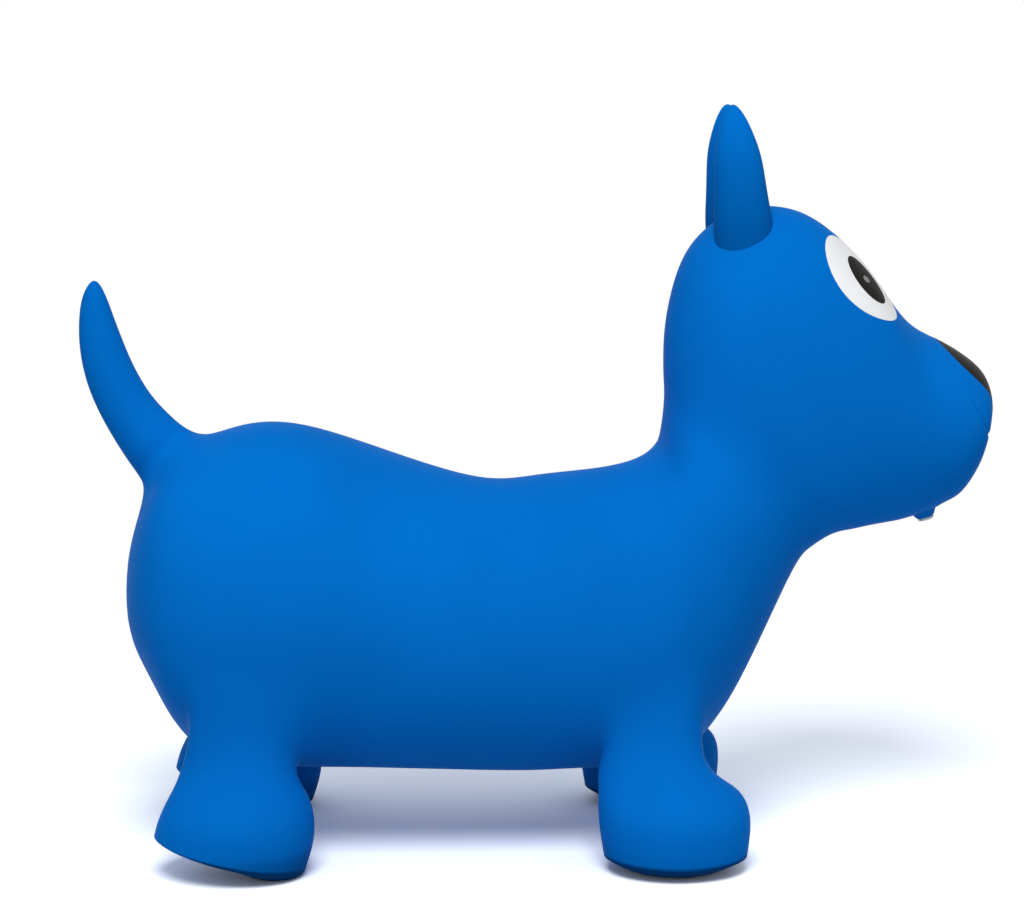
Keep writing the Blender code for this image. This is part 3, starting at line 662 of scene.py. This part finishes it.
def leg_rings(foot_x, side, shares, slope, lift):
    """Rings of points down a leg, from its rear outer corner forwards and round by the inner side."""
    rings = []
    rim = len(shares) - 2
    for number, (height, shift, length, lean, width) in enumerate(shares):
        pitched = slope * min(number / rim, 1)
        ring = []
        for turn in limb_turns():
            x = shift * FOOT_LENGTH + math.cos(turn) * length * FOOT_LENGTH / 2
            y = TRACK / 2 + lean * FOOT_WIDTH + math.sin(turn) * width * FOOT_WIDTH / 2
            z = height * ANKLE_HEIGHT + pitched * x + (ANKLE_TILT * math.sin(turn) if number == 0 else 0)
            if number == rim:
                z -= RIM_SAG * math.sin(turn) ** 2
            if number >= rim:
                z = max(z + lift, -SOLE_DIP)
            ring.append(Vector((foot_x + x, side * y, z)))
        rings.append(ring)
    tip = Vector((foot_x + shares[-1][1] * FOOT_LENGTH, side * TRACK / 2, -SOLE_DIP))
    return rings, tip


def tail_rings():
    middles = [place(x_share, 0, z_share) for x_share, z_share, _ in TAIL_SHARES]
    tip = place(*TAIL_TIP_SHARES)
    ends = [place(*TAIL_ROOT_SHARES), *middles, tip]
    rings = []
    for number, (middle, (_, _, share)) in enumerate(zip(middles, TAIL_SHARES), 1):
        forward = (ends[number + 1] - ends[number - 1]).normalized()
        radius = share * TAIL_BREADTH / 2
        front = Vector((0, 1, 0)).cross(forward)
        rings.append(oval(middle, front * radius, Vector((0, radius, 0)), LIMB_POINTS, limb_turns()[0]))
    return rings, tip


def patch(ribs, stations, sectors):
    """The eight points round a patch of four faces between three ribs, and the middles of the four faces."""
    outer, middle, inner = sectors
    rear, centre, front = stations
    around = (
        (rear, outer), (centre, outer), (front, outer), (front, middle),
        (front, inner), (centre, inner), (rear, inner), (rear, middle),
    )
    faces = []
    for a, b in ((rear, centre), (centre, front)):
        for c, d in ((outer, middle), (middle, inner)):
            corners = (ribs[a][c], ribs[a][d], ribs[b][c], ribs[b][d])
            faces.append(sum(corners, Vector()) / 4)
    return [ribs[station][sector] for station, sector in around], faces


def build_form(settings):
    """The undivided skin without its ears: ribs drawn along the body, then legs and tail drawn out of it."""
    ribs = [rib(*row) for row in RIB_SHARES]
    bpy.ops.mesh.primitive_circle_add(vertices=RIB_POINTS, radius=1, fill_type="NOTHING")
    form = named("skin_form")
    edit(form)
    bpy.ops.mesh.select_all(action="SELECT")
    flat = oval(Vector(), Vector((0, 1, 0)), Vector((1, 0, 0)), RIB_POINTS)
    move_points(form, flat, ribs[0])
    for before, after in zip(ribs, ribs[1:]):
        bpy.ops.mesh.extrude_region_move()
        move_points(form, before, after)
    for ring, (x_share, z_share) in ((ribs[0], RUMP_END_SHARES), (ribs[-1], MUZZLE_END_SHARES)):
        bpy.ops.mesh.select_all(action="DESELECT")
        select_near(form, ring, "VERT")
        bpy.ops.mesh.extrude_region_move()
        bpy.ops.mesh.merge(type="CENTER")
        bm = bmesh.from_edit_mesh(form.data)
        next(vert for vert in bm.verts if vert.select).co = place(x_share, 0, z_share)
        bmesh.update_edit_mesh(form.data)
    rims, loose, limbs = [], [], []
    rear = (along(REAR_FOOT_SHARE), REAR_LEG_SHARES, REAR_SOLE_SLOPE, REAR_HEEL_LIFT)
    front = (along(FRONT_FOOT_SHARE), FRONT_LEG_SHARES, 0, 0)
    for stations, (foot_x, shares, slope, lift) in ((REAR_LEG_RIBS, rear), (FRONT_LEG_RIBS, front)):
        for _, side in SIDES:
            sectors = [k if side > 0 else RIB_POINTS - k for k in LEG_SECTORS]
            rings, tip = leg_rings(foot_x, side, shares, slope, lift)
            rims += rings[-2]
            limbs.append((stations, sectors, rings, tip))
    limbs.append((TAIL_RIBS, (1, 0, -1), *tail_rings()))
    for stations, sectors, rings, tip in limbs:
        ring, faces = patch(ribs, stations, sectors)
        loose += ring
        bpy.ops.mesh.select_mode(type="FACE")
        bpy.ops.mesh.select_all(action="DESELECT")
        select_near(form, faces, "FACE")
        draw_out(form, ring, rings, tip)
    bpy.ops.mesh.select_all(action="SELECT")
    bpy.ops.mesh.normals_make_consistent(inside=False)
    bpy.ops.mesh.select_mode(type="VERT")
    bpy.ops.mesh.select_all(action="DESELECT")
    select_near(form, rims, "VERT")
    bpy.ops.transform.edge_crease(value=RIM_CREASE)
    leave()
    fit_cage(form, rims, loose)
    smooth_surface(form, settings)
    edit(form)
    poles = [place(x_share, 0, z_share) for x_share, z_share in (RUMP_END_SHARES, MUZZLE_END_SHARES)]
    select_where(form, lambda at: min((at - pole).length for pole in poles) < POLE_REACH)
    bpy.ops.mesh.vertices_smooth(factor=0.5, repeat=POLE_ROUNDS)
    bpy.ops.mesh.select_all(action="DESELECT")
    select_where(form, lambda at: at.z < 0)
    bpy.ops.transform.resize(value=(1, 1, 0), center_override=(0, 0, 0))
    leave()
    crease_mouth(form, settings.mouth_depth)
    activate(form)
    bpy.ops.object.shade_smooth()


def crease_mouth(form, depth):
    """Presses the mouth's crease into the muzzle: the skin is made finer there, then moved in."""
    middle = place(*MOUTH_SHARES)
    upward = Vector((-math.cos(MOUTH_RISE), 0, math.sin(MOUTH_RISE)))
    ahead = Vector((math.sin(MOUTH_RISE), 0, math.cos(MOUTH_RISE)))

    def near(at, breadths):
        span = at - middle
        return (
            abs(span.dot(ahead)) < breadths * MOUTH_BREADTH
            and -MOUTH_DROP < span.dot(upward) < MOUTH_REACH
        )

    edit(form)
    select_where(form, lambda at: near(at, MOUTH_FINE_BREADTHS))
    bpy.ops.mesh.subdivide(number_cuts=MOUTH_CUTS, smoothness=1)
    bm = bmesh.from_edit_mesh(form.data)
    bm.normal_update()
    inward = {vert: -vert.normal.copy() for vert in bm.verts if near(vert.co, MOUTH_MOVED_BREADTHS)}
    for vert, way in inward.items():
        span = vert.co - middle
        across = span.dot(ahead) / MOUTH_BREADTH
        fade = min((1 - span.dot(upward) / MOUTH_REACH) * MOUTH_END_FADE, 1)
        fade *= min(MOUTH_MIDDLE_SHARE + (span.y / MOUTH_MIDDLE_REACH) ** 2, 1)
        vert.co += way * depth * fade * math.exp(-across * across)
    bmesh.update_edit_mesh(form.data)
    leave()


def take_normals(obj, source):
    """Gives a piece the undivided skin's shading, so that no seam shows where the skin was divided."""
    finish_modifier(
        obj, "DATA_TRANSFER", object=source, use_loop_data=True, data_types_loops={"CUSTOM_NORMAL"},
        loop_mapping="POLYINTERP_NEAREST",
    )


def divide(form, name, cuts):
    """A piece of the undivided skin: what lies on the side of each plane that its normal points to."""
    obj = copy_of(form, name)
    for point, normal in cuts:
        edit(obj)
        bpy.ops.mesh.select_all(action="SELECT")
        bpy.ops.mesh.bisect(plane_co=point, plane_no=normal, use_fill=True, clear_inner=True)
        leave()
    take_normals(obj, form)
    return obj


def leg_plane(side):
    """The sloping plane above a side's legs, as a point on it and its upward normal."""
    return (0, 0, LEG_CUT_HEIGHT), Vector((0, -LEG_CUT_SLOPE * side, 1)).normalized()


def tail_plane():
    forward = Matrix.Rotation(TAIL_TURN, 3, "Y") @ Vector((0, 0, 1))
    return place(*TAIL_PIVOT_SHARES) + forward * TAIL_CUT, forward


def finish_piece(obj, material, nodes):
    obj.data.materials.clear()
    obj.data.materials.append(material)
    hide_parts(*nodes)


def build_body(skin):
    form = bpy.data.objects["skin_form"]
    point, forward = tail_plane()
    cuts = [leg_plane(1), leg_plane(-1), (point, -forward)]
    body = divide(form, "skin_body", cuts)
    finish_piece(body, skin_material(skin), ["trunk", "neck", "head"])
    forward = Matrix.Rotation(NECK_SLOPE, 3, "Y") @ Vector((0, 0, 1))
    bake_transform(body)


def build_legs(skin):
    form = bpy.data.objects["skin_form"]
    middle = (along((FRONT_FOOT_SHARE + REAR_FOOT_SHARE) / 2), 0, 0)
    for word, side in SIDES:
        point, upward = leg_plane(side)
        for end, share, way in (("front", FRONT_FOOT_SHARE, 1), ("rear", REAR_FOOT_SHARE, -1)):
            leg = divide(form, f"skin_leg_{end}_{word}", [(point, -upward), (middle, (way, 0, 0))])
            finish_piece(leg, skin_material(skin), [f"leg_{end}_{word}", f"foot_{end}_{word}"])
            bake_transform(leg)


def build_tail(skin):
    form = bpy.data.objects["skin_form"]
    point, forward = tail_plane()
    tail = divide(form, "skin_tail", [(point, forward)])
    finish_piece(tail, skin_material(skin), ["tail_root", "tail"])
    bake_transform(tail)


def near_sign(value):
    """-1, 0 or 1: which side of a square's middle a turn's sine or cosine stands for."""
    return 0 if abs(value) < 0.5 else math.copysign(1, value)


def build_ears(skin):
    for word, side in SIDES:
        foot, tip = place(*EAR_FOOT_SHARES, side), place(*EAR_TIP_SHARES, side)
        rings = []
        for height_share, width_share, bow in EAR_SHARES:
            middle = foot.lerp(tip, height_share) + Vector((0, side * bow * EAR_BREADTH, 0))
            forward = Vector((math.cos(EAR_TURN), side * math.sin(EAR_TURN), 0))
            ahead = forward * EAR_DEPTH * width_share / 2
            aside = Vector((-forward.y, forward.x, 0)) * EAR_BREADTH * width_share / 2
            rings.append(oval(middle, ahead, aside, LIMB_POINTS, limb_turns()[0]))
        bpy.ops.mesh.primitive_grid_add(x_subdivisions=2, y_subdivisions=2, size=1)
        ear = named(f"skin_ear_{word}")
        edit(ear)
        bpy.ops.mesh.select_all(action="SELECT")
        square = [
            Vector((near_sign(math.cos(turn)), near_sign(math.sin(turn)), 0)) / 2 for turn in limb_turns()
        ]
        move_points(ear, [*square, Vector()], [*rings[0], foot])
        draw_out(ear, rings[0], rings[1:], tip)
        bpy.ops.mesh.select_all(action="SELECT")
        bpy.ops.mesh.normals_make_consistent(inside=False)
        leave()
        fit_cage(ear)
        smooth_surface(ear, skin)
        bpy.ops.object.shade_smooth()
        surface = skin_material(skin, "moulded ear vinyl", EAR_FOOT_PAINTED_SHADE)
        finish_piece(ear, surface, [f"ear_root_{word}", f"ear_{word}"])
        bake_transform(ear)


# The painted face.


def facing(pitch, turn):
    """A rotation whose Z looks out of a sloping face: pitched up from +X, then turned to a side about Z."""
    return Matrix.Rotation(turn, 3, "Z") @ Matrix.Rotation(math.pi / 2 - pitch, 3, "Y")


def paint_patch(name, middle, look, height, width, lift):
    """A thin plate of paint, cut to an oval, that lies on the skin and stands proud of it by lift."""
    form = bpy.data.objects["skin_form"]
    film = copy_of(form, name)
    reach = max(height, width) / 2 + PAINT_MARGIN
    edit(film)
    select_where(film, lambda at: (at - middle).length > reach)
    bpy.ops.mesh.delete(type="VERT")
    bpy.ops.mesh.select_all(action="SELECT")
    bpy.ops.transform.shrink_fatten(value=lift)
    leave()
    finish_modifier(film, "SOLIDIFY", thickness=PAINT_DEPTH, offset=-1.0)
    bpy.ops.mesh.primitive_cylinder_add(
        vertices=OUTLINE_POINTS, radius=0.5, depth=4 * reach, location=middle, rotation=look.to_euler(),
        scale=(height, width, 1),
    )
    outline = named("outline")
    settle(outline)
    finish_modifier(film, "BOOLEAN", object=outline, operation="INTERSECT", solver="EXACT")
    remove(outline)
    activate(film)
    bpy.ops.object.shade_smooth_by_angle(angle=PAINT_SMOOTH_BELOW)
    return film


def build_eyes(paint):
    white = paint_material("white paint", paint.white, paint.roughness)
    black = paint_material("black paint", paint.black, paint.roughness)
    grey = paint_material("grey paint", paint.grey, paint.roughness)
    for word, side in SIDES:
        look = facing(EYE_PITCH, side * EYE_TURN)
        middle = place(*EYE_SHARES, side)
        pupil_at = middle + look @ Vector((PUPIL_DROP, side * PUPIL_SHIFT, 0))
        glint_at = pupil_at + look @ Vector((0, side * GLINT_SHIFT / 2, 0))
        for part, at, height, width, steps, material, slot in (
            ("eye_white", middle, paint.eye_height, paint.eye_width, 1, white, "white_paint"),
            ("pupil", pupil_at, paint.pupil_height, paint.pupil_width, 2, black, "black_paint"),
            ("eye_glint", glint_at, paint.glint_size, paint.glint_size, 3, grey, "grey_paint"),
        ):
            film = paint_patch(f"paint_{part}_{word}", at, look, height, width, steps * PAINT_STEP)
            finish_piece(film, material, [f"{part}_{word}"])
            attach(film, "head")


def build_nose(paint):
    black = paint_material("nose paint", paint.black, paint.roughness)
    look = facing(NOSE_PITCH, 0)
    size = paint.nose_length, paint.nose_width
    film = paint_patch("paint_nose", place(*NOSE_SHARES), look, *size, PAINT_STEP)
    finish_piece(film, black, ["nose"])
    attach(film, "head")


# The air valve.


def turned(name, profile):
    """A solid turned about +Z: a circle drawn out along a profile of (radius, height), both ends filled."""
    radius, height = profile[0]
    bpy.ops.mesh.primitive_circle_add(
        vertices=TURNED_POINTS, radius=radius, fill_type="NGON", location=(0, 0, height)
    )
    obj = named(name)
    settle(obj)
    edit(obj)
    bpy.ops.mesh.select_all(action="SELECT")
    for next_radius, next_height in profile[1:]:
        bpy.ops.mesh.extrude_region_move(TRANSFORM_OT_translate={"value": (0, 0, next_height - height)})
        share = next_radius / radius
        bpy.ops.transform.resize(value=(share, share, 1), center_override=(0, 0, next_height))
        radius, height = next_radius, next_height
    bpy.ops.mesh.select_all(action="DESELECT")
    bpy.ops.mesh.select_non_manifold()
    bpy.ops.mesh.edge_face_add()
    bpy.ops.mesh.select_all(action="SELECT")
    bpy.ops.mesh.normals_make_consistent(inside=False)
    leave()
    return obj


def seat_at_valve(obj):
    obj.rotation_euler = (0, math.pi - VALVE_TILT, 0)
    obj.location = place(*VALVE_SHARES)
    settle(obj)


def build_valve(skin):
    slope = (BOSS_RADIUS - BOSS_FACE_RADIUS) / BOSS_PROUD
    edge = PLUG_HEAD / 4
    boss = turned("valve_boss", (
        (SLEEVE_RADIUS, -SLEEVE_DEPTH),
        (SLEEVE_RADIUS, -BOSS_ROOT - edge),
        (BOSS_RADIUS + slope * BOSS_ROOT, -BOSS_ROOT),
        (BOSS_RADIUS, 0),
        (BOSS_FACE_RADIUS + edge / 2, BOSS_PROUD - edge),
        (BOSS_FACE_RADIUS - edge, BOSS_PROUD),
        (BORE_RADIUS + edge, BOSS_PROUD),
        (BORE_RADIUS, BOSS_PROUD - edge),
        (BORE_RADIUS, BOSS_PROUD - SLEEVE_DEPTH),
    ))
    seat_at_valve(boss)
    bpy.ops.object.shade_smooth_by_angle(angle=SMOOTH_BELOW)
    finish_piece(boss, skin_material(skin), ["valve_seat"])
    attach(boss, "head")

    under = BOSS_PROUD + PLUG_GAP
    profile = [(PLUG_STEM_RADIUS - 2 * PLUG_WAIST, under - PLUG_STEM)]
    for number in range(PLUG_RIBS):
        height = under - PLUG_STEM * (PLUG_RIBS - number) / (PLUG_RIBS + 1)
        profile += [
            (PLUG_STEM_RADIUS - PLUG_WAIST, height - PLUG_WAIST),
            (PLUG_STEM_RADIUS, height - PLUG_WAIST / 2),
            (PLUG_STEM_RADIUS, height + PLUG_WAIST / 2),
            (PLUG_STEM_RADIUS - PLUG_WAIST, height + PLUG_WAIST),
        ]
    profile += [
        (PLUG_STEM_RADIUS - PLUG_WAIST, under),
        (PLUG_RADIUS - edge, under),
        (PLUG_RADIUS, under + edge),
        (PLUG_RADIUS, under + PLUG_HEAD - edge),
        (PLUG_RADIUS - edge, under + PLUG_HEAD),
        (PLUG_RADIUS * PLUG_DISH_SHARES[0], under + PLUG_HEAD),
        (PLUG_RADIUS * PLUG_DISH_SHARES[1], under + PLUG_HEAD - edge),
    ]
    plug = turned("valve_plug", profile)
    seat_at_valve(plug)
    bpy.ops.object.shade_smooth_by_angle(angle=SMOOTH_BELOW)
    finish_piece(plug, plug_material(), ["stopper"])
    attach(plug, "stopper")


# The studio.


def camera_rays(tree):
    """1 where the camera sees a surface directly, in a mirror or through glass, else 0."""
    rays = add_node(tree, "ShaderNodeLightPath")
    total = rays.outputs["Is Camera Ray"]
    for kind in ("Is Glossy Ray", "Is Transmission Ray"):
        larger = add_node(tree, "ShaderNodeMath", operation="MAXIMUM")
        tree.links.new(total, larger.inputs[0])
        tree.links.new(rays.outputs[kind], larger.inputs[1])
        total = larger.outputs["Value"]
    return total


def floor_material():
    """Pale paper that looks white to the camera, but for the dog's shadow, and turns plain white far off."""
    made, tree, shader = new_material("paper floor")
    shader.inputs["Base Color"].default_value = (0.62, 0.64, 0.68, 1)
    shader.inputs["Roughness"].default_value = 0.9
    shader.inputs["Specular IOR Level"].default_value = 0.1
    where = add_node(tree, "ShaderNodeTexCoord").outputs["Object"]
    length = add_node(tree, "ShaderNodeVectorMath", operation="LENGTH")
    tree.links.new(where, length.inputs[0])
    fade = add_node(tree, "ShaderNodeMapRange", interpolation_type="SMOOTHSTEP")
    fade.inputs["From Min"].default_value, fade.inputs["From Max"].default_value = FLOOR_FADE
    tree.links.new(length.outputs["Value"], fade.inputs["Value"])
    paper = add_node(tree, "ShaderNodeBsdfDiffuse")
    paper.inputs["Color"].default_value = ROOM_COLOUR
    bright = add_node(tree, "ShaderNodeAddShader")
    tree.links.new(paper.outputs["BSDF"], bright.inputs[0])
    tree.links.new(shader.outputs["BSDF"], bright.inputs[1])
    glow = add_node(tree, "ShaderNodeEmission")
    glow.inputs["Color"].default_value = WHITE
    white = add_node(tree, "ShaderNodeMixShader")
    tree.links.new(fade.outputs["Result"], white.inputs["Fac"])
    tree.links.new(bright.outputs["Shader"], white.inputs[1])
    tree.links.new(glow.outputs["Emission"], white.inputs[2])
    seen = add_node(tree, "ShaderNodeMixShader")
    tree.links.new(camera_rays(tree), seen.inputs["Fac"])
    tree.links.new(shader.outputs["BSDF"], seen.inputs[1])
    tree.links.new(white.outputs["Shader"], seen.inputs[2])
    tree.links.new(seen.outputs["Shader"], tree.nodes["Material Output"].inputs["Surface"])
    return made


def white_world(strength):
    world = bpy.data.worlds.new("white room")
    bpy.context.scene.world = world
    world.use_nodes = True
    tree = world.node_tree
    room = tree.nodes["Background"]
    room.inputs["Color"].default_value = ROOM_COLOUR
    room.inputs["Strength"].default_value = strength
    plain = add_node(tree, "ShaderNodeBackground")
    plain.inputs["Color"].default_value = WHITE
    mix = add_node(tree, "ShaderNodeMixShader")
    tree.links.new(camera_rays(tree), mix.inputs["Fac"])
    tree.links.new(room.outputs["Background"], mix.inputs[1])
    tree.links.new(plain.outputs["Background"], mix.inputs[2])
    tree.links.new(mix.outputs["Shader"], tree.nodes["World Output"].inputs["Surface"])


def soft_light(power):
    bpy.ops.object.light_add(type="AREA", location=LIGHT_PLACE)
    light = bpy.context.object
    light.name = "large soft light"
    light.data.shape = "DISK"
    light.data.size = LIGHT_SIZE
    light.data.energy = power
    light.rotation_euler = (Vector(LIGHT_TARGET) - Vector(LIGHT_PLACE)).to_track_quat("-Z", "Y").to_euler()


def build_studio(studio):
    scene = bpy.context.scene
    bpy.ops.mesh.primitive_plane_add(size=FLOOR_SIZE, location=(0, 0, 0))
    floor = named("floor")
    floor.data.materials.append(floor_material())
    white_world(studio.fill)
    soft_light(studio.key)
    bpy.ops.object.camera_add(location=CAMERA_PLACE, rotation=(math.pi / 2 - CAMERA_PITCH, 0, -CAMERA_YAW))
    camera = bpy.context.object
    camera.data.lens = studio.focal
    camera.data.sensor_width = SENSOR_WIDTH
    scene.camera = camera
    scene.view_settings.view_transform = "Standard"


class DOG_OT_form(bpy.types.Operator):
    """Model the undivided skin, which the skin's pieces are divided from"""

    bl_idname = "bouncy_dog.form"
    bl_label = "Undivided skin"

    def execute(self, context):
        build_form(context.scene.dog_skin)
        return {"FINISHED"}


class DOG_OT_body(bpy.types.Operator):
    """Divide off the skin of the body and head, which bends at the neck"""

    bl_idname = "bouncy_dog.body"
    bl_label = "Body and head"

    def execute(self, context):
        build_body(context.scene.dog_skin)
        return {"FINISHED"}


class DOG_OT_legs(bpy.types.Operator):
    """Divide off the skin of the four legs, which shorten as the feet are pressed"""

    bl_idname = "bouncy_dog.legs"
    bl_label = "Legs"

    def execute(self, context):
        build_legs(context.scene.dog_skin)
        return {"FINISHED"}


class DOG_OT_tail(bpy.types.Operator):
    """Divide off the skin of the tail, which bends at its root"""

    bl_idname = "bouncy_dog.tail"
    bl_label = "Tail"

    def execute(self, context):
        build_tail(context.scene.dog_skin)
        return {"FINISHED"}


class DOG_OT_ears(bpy.types.Operator):
    """Model the two ears, which bend at their roots"""

    bl_idname = "bouncy_dog.ears"
    bl_label = "Ears"

    def execute(self, context):
        build_ears(context.scene.dog_skin)
        return {"FINISHED"}


class DOG_OT_eyes(bpy.types.Operator):
    """Paint the eyes: whites, pupils and glints"""

    bl_idname = "bouncy_dog.eyes"
    bl_label = "Eyes"

    def execute(self, context):
        build_eyes(context.scene.dog_paint)
        return {"FINISHED"}


class DOG_OT_nose(bpy.types.Operator):
    """Paint the nose"""

    bl_idname = "bouncy_dog.nose"
    bl_label = "Nose"

    def execute(self, context):
        build_nose(context.scene.dog_paint)
        return {"FINISHED"}


class DOG_OT_valve(bpy.types.Operator):
    """Model the air valve's boss and its plug"""

    bl_idname = "bouncy_dog.valve"
    bl_label = "Air valve"

    def execute(self, context):
        build_valve(context.scene.dog_skin)
        return {"FINISHED"}


class DOG_OT_studio(bpy.types.Operator):
    """Set up the floor, the lights and the camera"""

    bl_idname = "bouncy_dog.studio"
    bl_label = "Studio"

    def execute(self, context):
        build_studio(context.scene.dog_studio)
        return {"FINISHED"}


OPERATORS = (
    DOG_OT_form, DOG_OT_body, DOG_OT_legs, DOG_OT_tail, DOG_OT_ears,
    DOG_OT_eyes, DOG_OT_nose, DOG_OT_valve, DOG_OT_studio,
)
SETTINGS = (("dog_skin", SkinSettings), ("dog_paint", PaintSettings), ("dog_studio", StudioSettings))


class DOG_PT_panel(bpy.types.Panel):
    """Lists the dog's settings and pieces"""

    bl_idname = "DOG_PT_panel"
    bl_label = "Bouncy Dog"
    bl_space_type = "VIEW_3D"
    bl_region_type = "UI"
    bl_category = "Bouncy Dog"

    def draw(self, context):
        for attribute, group in SETTINGS:
            box = self.layout.box()
            for name in group.__annotations__:
                box.prop(getattr(context.scene, attribute), name)
        for operator in OPERATORS:
            self.layout.operator(operator.bl_idname)


def register():
    for _, group in SETTINGS:
        bpy.utils.register_class(group)
    for item in (*OPERATORS, DOG_PT_panel):
        bpy.utils.register_class(item)
    for attribute, group in SETTINGS:
        setattr(bpy.types.Scene, attribute, bpy.props.PointerProperty(type=group))


def unregister():
    for attribute, _ in SETTINGS:
        delattr(bpy.types.Scene, attribute)
    for item in (DOG_PT_panel, *reversed(OPERATORS)):
        bpy.utils.unregister_class(item)
    for _, group in SETTINGS:
        bpy.utils.unregister_class(group)


def main():
    register()
    for operator in OPERATORS:
        deselect_all()
        getattr(bpy.ops.bouncy_dog, operator.bl_idname.split(".")[1])()
    remove(bpy.data.objects["skin_form"])


if __name__ == "__main__":
    main()
